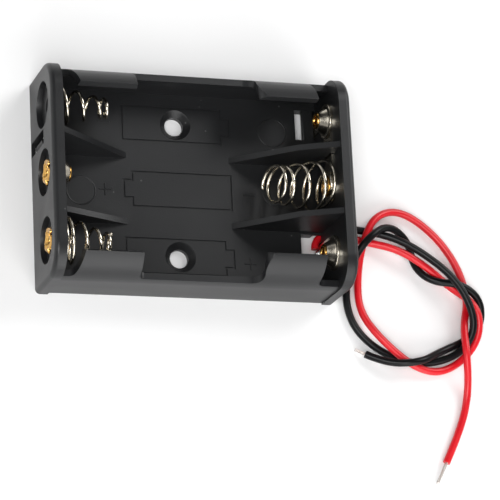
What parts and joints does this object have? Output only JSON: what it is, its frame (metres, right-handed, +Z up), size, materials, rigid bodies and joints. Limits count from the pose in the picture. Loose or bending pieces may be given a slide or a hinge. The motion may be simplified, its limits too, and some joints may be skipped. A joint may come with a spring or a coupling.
{
  "type": "cylindrical cell holder",
  "caption": "Open tray holder for small cylindrical cells side by side, with spring and button contacts and red and black wire leads.",
  "frame": {"origin": "centre of the housing's flat bottom face", "axes": "+X along the cells towards the end the leads leave by, +Y across the bays, +Z up out of the open side"},
  "size_m": [0.0801, 0.0686, 0.0145],
  "materials": {
    "black_plastic": "dark grey to black moulded plastic, fine satin grain",
    "plated_steel": "nickel-plated steel sheet",
    "brass_eyelet": "brass, dull",
    "spring_wire": "nickel-plated spring wire",
    "black_insulation": "soft black wire insulation, low gloss",
    "red_insulation": "soft red wire insulation, low gloss",
    "tinned_core": "tinned copper strands",
    "solder": "bright solder"
  },
  "bodies": {
    "holder": {"housing": "black_plastic", "bridge_plate_left": "plated_steel", "bridge_plate_right": "plated_steel", "terminal_plate_far_left": "plated_steel", "terminal_plate_near_right": "plated_steel", "contact_mid_left": "plated_steel", "contact_far_right": "plated_steel", "contact_near_right": "plated_steel", "eyelet_mid_left": "brass_eyelet", "eyelet_near_left": "brass_eyelet", "eyelet_far_right": "brass_eyelet", "eyelet_mid_right": "brass_eyelet", "eyelet_near_right": "brass_eyelet", "black_lead_inner": "black_insulation", "black_lead": "black_insulation", "red_lead": "red_insulation", "black_lead_tip": "tinned_core", "red_lead_tip": "tinned_core", "solder_red": "solder", "solder_black": "solder"},
    "spring_mid_right": {"spring_mid_right": "spring_wire"},
    "spring_far_left": {"spring_far_left": "spring_wire"},
    "spring_near_left": {"spring_near_left": "spring_wire"}
  },
  "joints": [
    {"name": "spring_mid_right_press", "type": "slide", "parent": "holder", "child": "spring_mid_right", "axis": [1, 0, 0], "range_m": [0, 0.006], "stiffness_N_per_m": 600, "deforming": ["spring_mid_right"]},
    {"name": "spring_far_left_press", "type": "slide", "parent": "holder", "child": "spring_far_left", "axis": [-1, 0, 0], "range_m": [0, 0.005], "stiffness_N_per_m": 600, "deforming": ["spring_far_left"]},
    {"name": "spring_near_left_press", "type": "slide", "parent": "holder", "child": "spring_near_left", "axis": [-1, 0, 0], "range_m": [0, 0.005], "stiffness_N_per_m": 600, "deforming": ["spring_near_left"]}
  ]
}
